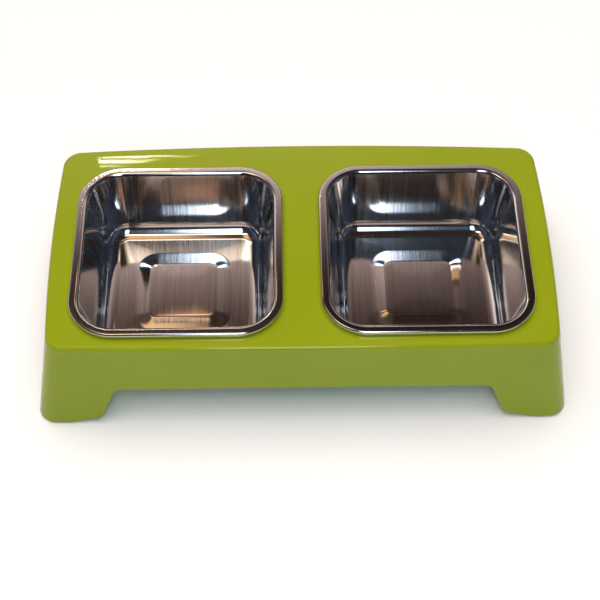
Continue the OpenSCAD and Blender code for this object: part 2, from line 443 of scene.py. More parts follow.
@dataclass(frozen=True)
class DrawnSteel:
    """Bright stainless sheet, with rolling grain where it lies flat and draw marks up its walls.

    The facing of a surface is the upward part of its normal: flat_facing and all above it count
    as flat, and upright_facing and all below it as upright. The walls are also slightly wavy.
    """

    pale: Colour = (0.70, 0.685, 0.675, 1)
    dull: Colour = (0.62, 0.60, 0.59, 1)
    roughness: float = 0.09
    roughness_spread: tuple[float, float] = (-0.02, 0.03)
    wall_roughness: float = 0.015
    flat_facing: float = 0.95
    upright_facing: float = 0.6
    rolled: Triple = (1400.0, 22.0, 22.0)
    drawn: Triple = (620.0, 620.0, 9.0)
    mark_height: float = 0.000018
    rolled_share: float = 0.12
    wave_scale: float = 24.0
    wave_share: float = 7.0

    def material(self) -> Material:
        """Builds the node material.

        Returns:
            The new material.
        """
        board = ShaderBoard("drawn_steel")
        place = board.add("TexCoord").outputs["Object"]
        lines = board.add("Attribute", attribute_name=DRAW_LINES).outputs["Vector"]
        normal = board.add("NewGeometry").outputs["Normal"]
        facing = board.add("SeparateXYZ", {"Vector": normal}).outputs["Z"]
        upright = board.smooth(facing, self.flat_facing, self.upright_facing)
        grain = board.noise(board.stretched(place, self.rolled), 1.0)
        marks = board.noise(board.stretched(lines, self.drawn), 1.0, detail=3.0)
        flat_part = board.calculate("MULTIPLY", grain, self.rolled_share)
        waves = board.noise(place, self.wave_scale, detail=1.0)
        waves = board.calculate("MULTIPLY", waves, self.wave_share)
        drawn_part = board.calculate("MULTIPLY", board.calculate("ADD", marks, waves), upright)
        height = board.calculate("ADD", flat_part, drawn_part)
        tone = board.between(upright, grain, marks)
        gloss = board.ranged(tone, *(self.roughness + spread for spread in self.roughness_spread))
        wall_part = board.calculate("MULTIPLY", upright, self.wall_roughness)
        shader = board.add("BsdfPrincipled", {
            "Base Color": board.mixed(board.ranged(tone, 0, 1), self.dull, self.pale),
            "Metallic": 1.0,
            "Roughness": board.calculate("ADD", gloss, wall_part),
            "Normal": board.bump(height, 1.0, self.mark_height),
        })
        return board.finish(shader)


@dataclass(frozen=True)
class FootRubber:
    """Matt black moulded rubber with a dusty bloom and a fine grain."""

    dark: Colour = (0.012, 0.012, 0.012, 1)
    dusty: Colour = (0.030, 0.030, 0.031, 1)
    bloom_scale: float = 260.0
    grain_scale: float = 2400.0
    grain_height: float = 0.0001
    grain_share: float = 0.3
    roughness: tuple[float, float] = (0.62, 0.8)

    def material(self) -> Material:
        """Builds the node material.

        Returns:
            The new material.
        """
        board = ShaderBoard("black_rubber")
        place = board.add("TexCoord").outputs["Object"]
        bloom = board.noise(place, self.bloom_scale, detail=4.0)
        grain = board.noise(place, self.grain_scale)
        shader = board.add("BsdfPrincipled", {
            "Base Color": board.mixed(board.ranged(bloom, 0, 1), self.dark, self.dusty),
            "Roughness": board.ranged(bloom, *self.roughness),
            "Normal": board.bump(grain, self.grain_share, self.grain_height),
        })
        return board.finish(shader)


@dataclass(frozen=True)
class StudioPaper:
    """The pale floor that the object stands on."""

    colour: Colour = (0.90, 0.90, 0.90, 1)
    roughness: float = 0.9

    def material(self) -> Material:
        """Builds the plain matt material.

        Returns:
            The new material.
        """
        board = ShaderBoard("studio_paper")
        shader = board.add("BsdfPrincipled", {"Base Color": self.colour, "Roughness": self.roughness})
        return board.finish(shader)


@dataclass(frozen=True)
class PaleBackdrop:
    """The even paper far behind the object, which only low views show."""

    colour: Colour = (0.93, 0.93, 0.93, 1)
    strength: float = 1.0

    def material(self) -> Material:
        """Builds the plain glowing material."""
        board = ShaderBoard("backdrop_paper")
        return board.finish(board.add("Emission", {"Color": self.colour, "Strength": self.strength}))


class Side(Enum):
    """The four sides of the stand, each with its direction as seen from above."""

    FRONT = (0, -1)
    RIGHT = (1, 0)
    BACK = (0, 1)
    LEFT = (-1, 0)

    @property
    def long(self) -> bool:
        """Whether the side runs along the width."""
        return self in (Side.FRONT, Side.BACK)


@dataclass(frozen=True)
class Arch:
    """The opening under one pair of sides, from the middle of its roof to the legs' soles.

    The roof rises a little towards its middle, and each sole slopes up towards the opening.
    """

    height: float = 0.0323
    rise: float = 0.0013
    lean: float = math.radians(22.8)
    sole_rise: float = 0.0046
    slope_length: float = 0.0228
    roof_radius: float = 0.007
    leg_radius: float = 0.008
    round_steps: int = 8
    longest_step: float = 0.005

    def half_profile(self, half_span: float, leg_length: float, reach: float) -> np.ndarray:
        """Draws half of the outline.

        Args:
            half_span: From the middle to the leg's outer end.
            leg_length: The leg's length along its bottom.
            reach: Where the flat part of the sole ends.

        Returns:
            Points as distance from the middle and height above the sole.
        """
        foot_end = half_span - leg_length
        roof_end = foot_end - (self.height - self.sole_rise) * math.tan(self.lean)
        corners = np.array([
            [0, self.height],
            [roof_end, self.height],
            [foot_end, self.sole_rise],
            [foot_end + self.slope_length, 0],
            [reach, 0],
        ])
        radii = [self.roof_radius, self.leg_radius, self.leg_radius]
        outline = densify(round_corners(corners, radii, self.round_steps), self.longest_step)
        share = np.clip(outline[:, 0] / roof_end, 0, 1)
        outline[:, 1] += self.rise * (1 - share**2)
        return outline


@dataclass
class Columns:
    """The upright lines of the stand's wall, each a rule for its place at any level.

    A place is worked out from the half width, the back and front edges and the corner radius
    at that level, and from the line's own place along its side.
    """

    rules: list[tuple[float, ...]] = field(default_factory=list)
    top_place: list[float] = field(default_factory=list)
    sole_place: list[float] = field(default_factory=list)
    sole_height: list[float] = field(default_factory=list)
    lift: list[tuple[float, float]] = field(default_factory=list)

    def add(
        self, rule: tuple[float, ...], top: float, sole: float, height: float, lift: tuple[float, float]
    ) -> None:
        """Adds a line.

        Args:
            rule: Factors for half width, corner radius and place in X, then back edge, front
                edge, corner radius and place in Y.
            top: Its place along the side at the top.
            sole: Its place along the side at its lower end.
            height: The height of its lower end above the sole.
            lift: The direction from its lower end into the wall, along the side and up.
        """
        self.rules.append(rule)
        self.top_place.append(top)
        self.sole_place.append(sole)
        self.sole_height.append(height)
        self.lift.append(lift)


@dataclass
class Stand:
    """The one-piece moulded stand: top, four arched walls, two holes and four foot posts.

    The margins are the room from the rims to the top's edges, and the bows are how far the
    edges swell out in their middles. A set-back is how far a small rounding reaches from its
    sharp corner. The places of the bowls, feet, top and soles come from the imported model.
    """

    side_margin: float = 0.0155
    front_margin: float = 0.0082
    back_margin: float = 0.0229
    wall: float = 0.003
    side_bow: float = 0.003
    front_bow: float = 0.0017
    back_bow: float = 0.0047
    draft: float = math.radians(10.5)
    corner_radius: float = 0.011
    top_radius: float = 0.003
    inner_radius: float = 0.002
    hole_half: float = 0.0643
    hole_radius: float = 0.0243
    hole_edge: float = 0.0006
    outer_set_back: float = 0.0009
    inner_set_back: float = 0.0004
    leg_length: float = 0.0457
    long_rise: float = 0.0013
    post_radius: float = 0.0086
    post_height: float = 0.013
    post_edge: float = 0.0006
    post_set_back: float = 0.00015
    settled_share: float = 0.7
    corner_steps: int = 12
    top_steps: int = 8
    under_steps: int = 5
    wall_steps: int = 10
    inner_wall_steps: int = 6
    edge_steps: int = 4
    inner_edge_steps: int = 3
    seam_steps: int = 33
    plate_steps: int = 6

    def __post_init__(self) -> None:
        """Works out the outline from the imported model."""
        low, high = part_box("stand")
        self.height = high.z
        self.sole = low.z
        left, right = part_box("left_bowl")
        self.bowl_x = -(left.x + right.x) / 2
        self.bowl_y = (left.y + right.y) / 2
        self.half_width = -left.x + self.side_margin
        self.front = left.y - self.front_margin
        self.back = right.y + self.back_margin
        self.columns = self.lay_columns()

    def half_width_at(self, spread: np.ndarray | float) -> np.ndarray | float:
        """Gives the half width before the bow, for an outline spread out from the top edge."""
        return self.half_width - self.side_bow + spread

    def front_at(self, spread: np.ndarray | float) -> np.ndarray | float:
        """Gives the front edge's place before the bow."""
        return self.front + self.front_bow - spread

    def back_at(self, spread: np.ndarray | float) -> np.ndarray | float:
        """Gives the back edge's place before the bow."""
        return self.back - self.back_bow + spread

    def spread_at(self, level: np.ndarray | float) -> np.ndarray | float:
        """Gives how far the wall has spread out at a height."""
        return (self.height - level) * math.tan(self.draft)

    def lay_columns(self) -> Columns:
        """Lays out the wall's upright lines, anticlockwise from the middle of the front.

        Returns:
            The lines.
        """
        lines = self.side_rules(Side.FRONT, 1)
        for side, turn in ((Side.RIGHT, 1), (Side.BACK, -1), (Side.LEFT, -1)):
            lines += self.corner_rules(side)
            lines += self.side_rules(side, -turn)[::-1][:-1]
            lines += self.side_rules(side, turn)
        lines += self.corner_rules(Side.FRONT)
        lines += self.side_rules(Side.FRONT, -1)[::-1][:-1]
        columns = Columns()
        for line in lines:
            columns.add(*line)
        return columns

    def side_rules(self, side: Side, turn: int) -> list[tuple]:
        """Lays out half of a side's lines, from its middle outward.

        At the soles they follow the arch. At the top they stand straight above it as far as
        settled_share of the way to the leg, and are spread evenly from there to the corner.

        Args:
            side: Which side.
            turn: 1 for the half towards the right or the back, else -1.

        Returns:
            What Columns.add takes for each line.
        """
        top_spread = self.spread_at(self.height - self.top_radius * (1 - math.sin(self.draft)))
        sole_spread = self.spread_at(self.sole)
        if side.long:
            half_span = self.half_width + sole_spread
            top_end, sole_end = [
                self.half_width_at(spread) - self.corner_radius for spread in (top_spread, sole_spread)
            ]
            arch = Arch(rise=self.long_rise)
        else:
            half_span = (self.back - self.front) / 2 + sole_spread
            edge = self.back_at if turn > 0 else self.front_at
            top_end, sole_end = [
                turn * edge(spread) - self.corner_radius for spread in (top_spread, sole_spread)
            ]
            arch = Arch(rise=0.0)
        profile = arch.half_profile(half_span, self.leg_length, sole_end)
        steps = np.linalg.norm(np.diff(profile, axis=0), axis=1)
        along = np.concatenate([[0], np.cumsum(steps)])
        settled = self.settled_share * (half_span - self.leg_length)
        start = float(np.interp(settled, profile[:, 0], along))
        share = np.clip((along - start) / (along[-1] - start), 0, 1)
        top = np.where(profile[:, 0] < settled, profile[:, 0], settled + (top_end - settled) * share)
        tangent = unit(np.gradient(profile, along, axis=0))
        x, y = side.value
        rule = (x, 0, y * y, y > 0, y < 0, 0, x * x)
        return [
            (rule, turn * t, turn * q, z, (-turn * direction[1], direction[0]))
            for t, (q, z), direction in zip(top, profile, tangent)
        ]

    def corner_rules(self, following: Side) -> list[tuple]:
        """Lays out the lines round the corner that comes before a side.

        Args:
            following: The side after the corner, going anticlockwise.

        Returns:
            What Columns.add takes for each line.
        """
        order = list(Side)
        before = order[order.index(following) - 1]
        x = before.value[0] + following.value[0]
        y = before.value[1] + following.value[1]
        start = math.atan2(before.value[1], before.value[0])
        lines = []
        for angle in np.linspace(start, start + math.pi / 2, self.corner_steps + 1)[1:-1]:
            rule = (x, math.cos(angle) - x, 0, y > 0, y < 0, math.sin(angle) - y, 0)
            lines.append((rule, 0, 0, 0, (0, 1)))
        return lines

    def outline(
        self, spread: np.ndarray | float, radius: float, place: np.ndarray, level: np.ndarray | float
    ) -> np.ndarray:
        """Places every line at a level.

        Args:
            spread: How far the outline is spread out from the top edge, for each line or for all.
            radius: The corner radius there.
            place: Each line's place along its side.
            level: The height, for each line or for all.

        Returns:
            The points, one in each row.
        """
        rules = np.array(self.columns.rules, float)
        half_width = self.half_width_at(spread)
        front = self.front_at(spread)
        back = self.back_at(spread)
        x = rules[:, 0] * half_width + rules[:, 1] * radius + rules[:, 2] * place
        y = rules[:, 3] * back + rules[:, 4] * front + rules[:, 5] * radius + rules[:, 6] * place
        across = x / half_width
        along = (y - (front + back) / 2) / ((back - front) / 2)
        bow = np.where(along > 0, self.back_bow, self.front_bow)
        bowed_x = x + self.side_bow * across * (1 - along**2)
        bowed_y = y + bow * along * (1 - across**2)
        return np.stack([bowed_x, bowed_y, np.broadcast_to(level, x.shape)], axis=1)

    def edge_rings(self, top: float, inset: float, radius: float, steps: int) -> list[np.ndarray]:
        """Places the rings of the rounding between a wall and the top.

        Args:
            top: The height of the flat face above the rounding.
            inset: How far the face lies inside the stand's outside.
            radius: The rounding's radius.
            steps: How many steps it takes.

        Returns:
            The rings from the top down.
        """
        shift = inset / math.cos(self.draft)
        edge = self.spread_at(top) - shift
        centre = edge - radius * (1 - math.sin(self.draft)) / math.cos(self.draft)
        tangent = centre + radius * math.cos(self.draft)
        rings = []
        for angle in np.linspace(math.pi / 2, self.draft, steps + 1):
            spread = centre + radius * math.cos(angle)
            corner = self.corner_radius - shift - (tangent - spread)
            level = top - radius + radius * math.sin(angle)
            rings.append(self.outline(spread, corner, np.array(self.columns.top_place), level))
        return rings

    def wall_ring(
        self, share: float, place: np.ndarray, level: np.ndarray, top: float, inset: float
    ) -> np.ndarray:
        """Places a ring part of the way down a wall.

        Args:
            share: 0 at the top of the wall and 1 at its lower edge.
            place: Each line's place along its side at the lower edge.
            level: Each line's height at the lower edge.
            top: The height where the wall starts.
            inset: How far the face lies inside the stand's outside.

        Returns:
            The ring's points.
        """
        shift = inset / math.cos(self.draft)
        here = top + (level - top) * share
        along = np.array(self.columns.top_place)
        along = along + (place - along) * share
        return self.outline(self.spread_at(here) - shift, self.corner_radius - shift, along, here)

    def lower_edge(self, set_back: float) -> tuple[np.ndarray, np.ndarray]:
        """Gives the lower end of each line, lifted into the wall by a distance.

        Args:
            set_back: The distance.

        Returns:
            The place along the side and the height of each line.
        """
        lift = np.array(self.columns.lift)
        place = np.array(self.columns.sole_place) + lift[:, 0] * set_back
        level = self.sole + np.array(self.columns.sole_height) + lift[:, 1] * set_back * math.cos(self.draft)
        return place, level

    def hole_point(self, directions: np.ndarray) -> tuple[np.ndarray, np.ndarray]:
        """Finds where rays from a hole's middle meet its edge.

        Args:
            directions: The rays, one in each row.

        Returns:
            The points on the edge and the outward directions there.
        """
        straight = self.hole_half - self.hole_radius
        sign = np.where(directions < 0, -1.0, 1.0)
        ray = np.abs(unit(directions))
        to_side = ray * (self.hole_half / ray.max(axis=1, keepdims=True))
        on_side = to_side.min(axis=1) <= straight
        middle = np.array([straight, straight])
        along = ray @ middle
        reach = along + np.sqrt(np.maximum(along**2 - middle @ middle + self.hole_radius**2, 0))
        in_corner = ray * reach[:, None]
        point = np.where(on_side[:, None], to_side, in_corner)
        square = (ray == ray.max(axis=1, keepdims=True)).astype(float)
        normal = np.where(on_side[:, None], square, unit(in_corner - middle))
        return point * sign, normal * sign

    def plate(
        self, maker: MeshMaker, ring: np.ndarray, level: float, upper: bool, holes: list[np.ndarray] | None
    ) -> list[np.ndarray]:
        """Fills the flat face between the outline and the two holes.

        A seam from the middle of the front to the middle of the back parts the face into two
        loops, and each loop is joined to its hole by rows of faces.

        Args:
            maker: The mesh that takes the faces.
            ring: The numbers of the outline's points.
            level: The face's height.
            upper: Whether it is the top, and not the underside.
            holes: The rings at the holes' edges, or None to make them.

        Returns:
            The rings at the two holes' edges, right and then left.
        """
        points = np.concatenate(maker.points)
        middle = len(ring) // 2
        shares = np.linspace(0, 1, self.seam_steps + 1)[1:-1, None]
        seam = maker.ring(points[ring[middle]] + (points[ring[0]] - points[ring[middle]]) * shares)
        points = np.concatenate(maker.points)
        loops = [
            np.concatenate([ring[: middle + 1], seam]),
            np.concatenate([ring[middle:], ring[:1], seam[::-1]]),
        ]
        edges = []
        for number, (loop, side) in enumerate(zip(loops, (1, -1))):
            centre = np.array([side * self.bowl_x, self.bowl_y])
            outer = points[loop]
            edge, normal = self.hole_point(outer[:, :2] - centre)
            inner = centre + edge + normal * (self.hole_edge if upper else 0)
            rows = [loop]
            for share in np.linspace(0, 1, self.plate_steps + 1)[1:]:
                flat = outer[:, :2] + (inner - outer[:, :2]) * share
                at_end = share == 1 and holes is not None
                row = np.column_stack([flat, np.full(len(loop), level)])
                rows.append(holes[number] if at_end else maker.ring(row))
            maker.bands(rows if upper else rows[::-1])
            edges.append(rows[-1])
            if upper:
                edges[-1] = self.hole_wall(maker, rows[-1], centre + edge, normal)
        return edges

    def hole_wall(
        self, maker: MeshMaker, rim: np.ndarray, edge: np.ndarray, normal: np.ndarray
    ) -> np.ndarray:
        """Turns the top face down into a hole, as far as the underside.

        Args:
            maker: The mesh that takes the faces.
            rim: The numbers of the ring on the top face.
            edge: The hole's edge as seen from above.
            normal: The outward direction at each of its points.

        Returns:
            The numbers of the ring at the underside.
        """
        rings = [rim]
        for angle in np.linspace(0, math.pi / 2, self.edge_steps + 1)[1:]:
            flat = edge + normal * self.hole_edge * (1 - math.sin(angle))
            level = self.height - self.hole_edge * (1 - math.cos(angle))
            rings.append(maker.ring(np.column_stack([flat, np.full(len(edge), level)])))
        bottom = np.full(len(edge), self.height - self.wall)
        rings.append(maker.ring(np.column_stack([edge, bottom])))
        maker.bands(rings)
        return rings[-1]

    def shell(self, material: Material) -> Object:
        """Builds the closed shell.

        Args:
            material: What the stand is made of.

        Returns:
            The shell as one object.
        """
        maker = MeshMaker()
        top_rings = self.edge_rings(self.height, 0, self.top_radius, self.top_steps)
        wall_top = top_rings[-1][0, 2]
        sharp = [self.wall_ring(1, *self.lower_edge(0), wall_top, inset) for inset in (0, self.wall)]
        strip = unit(sharp[1] - sharp[0])
        place, level = self.lower_edge(self.outer_set_back)
        shares = np.linspace(0, 1, self.wall_steps + 1)[1:]
        outer = [self.wall_ring(share, place, level, wall_top, 0) for share in shares]
        outer += self.rounded_edge(sharp[0], outer[-1], strip, self.outer_set_back, self.edge_steps)[1:]

        under = self.height - self.wall
        under_rings = self.edge_rings(under, self.wall, self.inner_radius, self.under_steps)
        inner_top = under_rings[-1][0, 2]
        place, level = self.lower_edge(self.inner_set_back)
        shares = np.linspace(0, 1, self.inner_wall_steps + 1)[1:]
        inner = [self.wall_ring(share, place, level, inner_top, self.wall) for share in shares]
        inner += self.rounded_edge(
            sharp[1], inner[-1], -strip, self.inner_set_back, self.inner_edge_steps
        )[1:]

        outside = [maker.ring(points) for points in top_rings + outer]
        inside = [maker.ring(points) for points in under_rings + inner]
        maker.bands(outside[::-1])
        maker.bands(inside)
        maker.band(inside[-1], outside[-1])
        holes = self.plate(maker, outside[0], self.height, True, None)
        self.plate(maker, inside[0], under, False, holes)
        return maker.build("stand_shell", material)

    def rounded_edge(
        self, corner: np.ndarray, start: np.ndarray, away: np.ndarray, set_back: float, steps: int
    ) -> list[np.ndarray]:
        """Rounds the edge between a wall and the strip at its lower end.

        Args:
            corner: The sharp corner of each line.
            start: Where the rounding starts on the wall.
            away: The direction from the corner along the strip.
            set_back: How far the rounding reaches from the corner.
            steps: How many steps it takes.

        Returns:
            The rings of the rounding.
        """
        up = unit(start - corner)
        half = np.arccos(np.sum(up * away, axis=1, keepdims=True)) / 2
        centre = corner + unit(up + away) * set_back / np.cos(half)
        first = corner + up * set_back - centre
        last = corner + away * set_back - centre
        return list(centre + turn_between(first, last, steps))

    def post_rings(self, centre: np.ndarray) -> list[np.ndarray]:
        """Places the rings of one foot's post, kept inside the walls where it meets them.

        Args:
            centre: The foot's middle as seen from above.

        Returns:
            The rings from the bottom up.
        """
        top = (self.post_radius - self.post_edge, self.post_height - self.post_edge)
        rounding = arc(top, self.post_edge, 0, math.pi / 2, self.edge_steps)
        section = np.concatenate([[[self.post_radius, self.post_set_back]], rounding])
        shift = self.wall / 2 / math.cos(self.draft)
        rings = []
        for radius, height in section:
            level = self.sole + height
            spread = self.spread_at(level) - shift
            place = np.array(self.columns.top_place)
            wall = self.outline(spread, self.corner_radius - shift, place, level)
            edge = np.roll(wall, -1, axis=0)[:, :2] - wall[:, :2]
            outward = np.stack([edge[:, 1], -edge[:, 0]], axis=1)
            room = np.sum(outward * (wall[:, :2] - centre), axis=1)
            ray = circle(radius)
            reach = (ray @ outward.T) / room
            flat = centre + ray / np.maximum(1, reach.max(axis=1, keepdims=True))
            rings.append(np.column_stack([flat, np.full(len(flat), level)]))
        return rings

    def posts_and_sockets(self, material: Material) -> list[Object]:
        """Builds the four posts as one solid, and the four sockets as another.

        Args:
            material: What the stand is made of.

        Returns:
            The posts and the sockets.
        """
        posts = MeshMaker()
        sockets = MeshMaker()
        for node in FEET:
            foot = PushInFoot(node)
            posts.solid(self.post_rings(foot.centre[:2]))
            sockets.solid(foot.socket_rings())
        return [posts.build("posts", material), sockets.build("sockets", material)]

    def build(self, material: Material) -> Object:
        """Builds the stand with its posts and sockets.

        Args:
            material: What the stand is made of.

        Returns:
            The finished piece.
        """
        shell = self.shell(material)
        shell.name = "moulded_stand"
        combine(shell, *self.posts_and_sockets(material))
        shade_smooth(shell.data)
        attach(shell, "stand")
        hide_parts("stand")
        return shell


@dataclass
class PressedBowl:
    """A bowl pressed from one steel sheet, with a rolled rim and a raised square in its floor.

    Going outward, the sheet has the raised square, a slope round it, the floor that falls a
    little towards the walls, the floor's rounding, a wall, the lip's rounding, a flat band and
    the rolled edge. Steps are the numbers of faces across these parts, and side_steps and
    corner_steps are those along each side and corner.
    """

    node: str
    corner_radius: float = 0.030
    band: float = 0.004
    curl_radius: float = 0.0015
    curl_drop: float = 0.0012
    curl_turn: float = math.radians(150)
    lip_radius: float = 0.003
    depth: float = 0.051
    floor_reach: float = 0.0448
    floor_fall: float = 0.0008
    floor_radius: float = 0.0105
    sheet: float = 0.0007
    square_half: float = 0.023
    square_radius: float = 0.005
    square_rise: float = 0.002
    square_slope: float = 0.011
    square_shares: tuple[float, ...] = (0.3, 0.6, 0.9)
    slope_softness: float = 0.6
    slope_steps: int = 13
    floor_shares: tuple[float, ...] = (0.35, 0.7)
    floor_steps: int = 20
    wall_steps: int = 15
    lip_steps: int = 16
    band_steps: int = 3
    curl_steps: int = 10
    roll_steps: int = 16
    side_steps: int = 18
    corner_steps: int = 22

    def __post_init__(self) -> None:
        """Takes the bowl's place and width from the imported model."""
        low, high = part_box(self.node)
        self.centre = np.array([(low.x + high.x) / 2, (low.y + high.y) / 2, high.z])
        self.half_width = (high.x - low.x) / 2
        self.corner = self.half_width - self.corner_radius

    def wall_section(self, inset: float) -> np.ndarray:
        """Draws the section from the flat floor out to the end of the curl.

        Args:
            inset: How far the face lies below the one that holds the food.

        Returns:
            Points as distance from the bowl's middle and height under the rim's top.
        """
        slope = math.atan(2 * self.floor_fall / self.floor_reach)
        floor_centre = np.array([
            self.floor_reach + self.floor_radius * math.sin(slope),
            self.floor_radius * math.cos(slope) - self.depth - self.floor_fall,
        ])
        lip_centre = np.array([self.half_width - self.band, -self.lip_radius])
        run, rise = lip_centre - floor_centre
        across = (self.floor_radius + self.lip_radius) / math.hypot(run, rise)
        lean = math.acos(across) - math.atan2(rise, run)
        curl_top = np.array([self.half_width - self.curl_radius, -self.curl_radius])
        curl_low = curl_top - [0, self.curl_drop]
        upright = math.pi / 2
        floor_arc = arc(floor_centre, self.floor_radius + inset, -upright - slope, -lean, self.floor_steps)
        lip_arc = arc(lip_centre, self.lip_radius - inset, math.pi - lean, upright, self.lip_steps)
        curl_arc = arc(curl_top, self.curl_radius - inset, upright, 0, self.curl_steps)
        roll_arc = arc(curl_low, self.curl_radius - inset, 0, -self.curl_turn, self.roll_steps)
        wall = np.linspace(floor_arc[-1], lip_arc[0], self.wall_steps + 1)[1:-1]
        band = np.linspace(lip_arc[-1], curl_arc[0], self.band_steps + 1)[1:-1]
        return np.concatenate([floor_arc, wall, lip_arc, band, curl_arc, roll_arc])

    def floor_section(self) -> np.ndarray:
        """Draws the floor from near the middle out to the walls' rounding.

        Returns:
            Half width, corner radius and height above the floor of each ring.
        """
        rows = [
            (self.square_half * share, self.square_radius * share, self.square_rise)
            for share in self.square_shares
        ]
        for share in np.linspace(0, 1, self.slope_steps + 1):
            height = self.square_rise * (1 - share) ** 2 * (1 + self.slope_softness * share)
            out = self.square_slope * share
            rows.append((self.square_half + out, self.square_radius + out, height))
        half, radius, _ = rows[-1]
        inner = self.wall_section(0)[0, 0]
        for share in self.floor_shares:
            rows.append((
                half + (inner - half) * share,
                radius + (inner - self.corner - radius) * share,
                0.0,
            ))
        section = np.array(rows)
        section[:, 2] -= self.floor_fall * (section[:, 0] / self.floor_reach) ** 2
        return section

    def ring(self, half: float, radius: float, level: float) -> np.ndarray:
        """Places a square ring with round corners.

        Args:
            half: Its half width.
            radius: Its corner radius.
            level: Its height under the rim's top.

        Returns:
            The ring's points in the frame, anticlockwise.
        """
        straight = half - radius
        along = np.linspace(-straight, straight, self.side_steps + 1)[:-1]
        side = np.column_stack([np.full(self.side_steps, half), along])
        corner = arc((straight, straight), radius, 0, math.pi / 2, self.corner_steps)[:-1]
        quarter = np.concatenate([side, corner])
        turns = [np.array([[x, y], [-y, x]]) for x, y in ((1, 0), (0, 1), (-1, 0), (0, -1))]
        flat = np.concatenate([quarter @ turn for turn in turns])
        return self.centre + np.column_stack([flat, np.full(len(flat), level)])

    def rings(self, inset: float) -> list[np.ndarray]:
        """Places all rings of one face of the sheet, from the middle outward.

        Args:
            inset: How far the face lies below the one that holds the food.

        Returns:
            The rings' points.
        """
        bottom = -self.depth - inset
        floor = [self.ring(half, radius, bottom + level) for half, radius, level in self.floor_section()]
        walls = [self.ring(x, x - self.corner, z) for x, z in self.wall_section(inset)]
        return floor + walls

    def mark_lines(self, mesh: Mesh, around: int) -> None:
        """Gives each point its place on the rim and its level, which the draw marks follow.

        Args:
            mesh: The bowl's mesh, ring by ring.
            around: How many points each ring has.
        """
        rim = self.ring(self.half_width, self.corner_radius, 0)
        levels = np.array([vertex.co.z for vertex in mesh.vertices])
        lines = np.tile(rim, (len(levels) // around, 1))
        lines[:, 2] = levels
        layer = mesh.attributes.new(DRAW_LINES, "FLOAT_VECTOR", "POINT")
        layer.data.foreach_set("vector", lines.ravel())

    def build(self, material: Material) -> Object:
        """Builds the bowl.

        Args:
            material: What the bowl is made of.

        Returns:
            The finished piece.
        """
        maker = MeshMaker()
        inside = [maker.ring(points) for points in self.rings(0)]
        outside = [maker.ring(points) for points in self.rings(self.sheet)]
        maker.cap(inside[0])
        maker.bands(inside[::-1])
        maker.cap(outside[0][::-1])
        maker.bands(outside)
        maker.band(outside[-1], inside[-1])
        piece = maker.build("pressed_" + self.node, material)
        self.mark_lines(piece.data, len(inside[0]))
        shade_smooth(piece.data)
        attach(piece, self.node)
        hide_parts(self.node)
        return piece


@dataclass
class PushInFoot:
    """A rubber foot that pushes into the socket under a leg.

    A pad lies in the sole, and a stem with a barb holds it. The socket is a little wider, and
    its cut starts a little below the pad.
    """

    node: str
    stem_radius: float = 0.0024
    barb_radius: float = 0.003
    pad_thickness: float = 0.0027
    stem_length: float = 0.003
    edge: float = 0.0005
    dimple_radius: float = 0.0036
    dimple_floor_share: float = 0.8
    dimple_depth: float = 0.0004
    tip_radius: float = 0.0012
    clearance: float = 0.0001
    below: float = 0.001
    edge_steps: int = 5

    def __post_init__(self) -> None:
        """Takes the foot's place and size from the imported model."""
        low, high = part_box(self.node)
        self.centre = np.array([(low.x + high.x) / 2, (low.y + high.y) / 2, low.z])
        self.pad_radius = (high.x - low.x) / 2
        self.height = high.z - low.z
        self.neck = self.pad_thickness + self.stem_length
        self.barb_top = self.neck + (self.height - self.neck) / 3

    def rings(self, section: np.ndarray) -> list[np.ndarray]:
        """Turns a section into rings round the foot's axis.

        Args:
            section: Points as radius and height.

        Returns:
            The rings' points.
        """
        return [
            self.centre + np.column_stack([circle(radius), np.full(ROUND_STEPS, height)])
            for radius, height in section
        ]

    def socket_rings(self) -> list[np.ndarray]:
        """Places the rings of the socket's cut.

        Returns:
            The rings' points, from below the sole up to the cut's end.
        """
        gap = self.clearance
        pad = self.pad_thickness + gap
        return self.rings(np.array([
            [self.pad_radius + gap, -self.below],
            [self.pad_radius + gap, pad],
            [self.stem_radius + gap, pad],
            [self.stem_radius + gap, self.neck - gap],
            [self.barb_radius + gap, self.neck - gap],
            [self.barb_radius + gap, self.barb_top],
            [self.stem_radius, self.height + gap],
        ]))

    def build(self, material: Material) -> Object:
        """Builds the foot, with a shallow dimple under its pad and a rounded barb.

        Args:
            material: What the foot is made of.

        Returns:
            The finished piece.
        """
        pad = self.pad_thickness
        rim = self.pad_radius - self.edge
        dimple_floor = [self.dimple_radius * self.dimple_floor_share, self.dimple_depth]
        section = np.concatenate([
            [dimple_floor, [self.dimple_radius, 0]],
            arc((rim, self.edge), self.edge, -math.pi / 2, 0, self.edge_steps),
            arc((rim, pad - self.edge), self.edge, 0, math.pi / 2, self.edge_steps),
            [[self.stem_radius, pad], [self.stem_radius, self.neck], [self.barb_radius, self.neck]],
            [[self.barb_radius, self.barb_top], [self.stem_radius, self.height - self.edge]],
            [[self.tip_radius, self.height]],
        ])
        maker = MeshMaker()
        maker.solid(self.rings(section))
        piece = maker.build("push_in_" + self.node, material)
        shade_smooth(piece.data)
        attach(piece, "stand")
        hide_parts(self.node)
        return piece


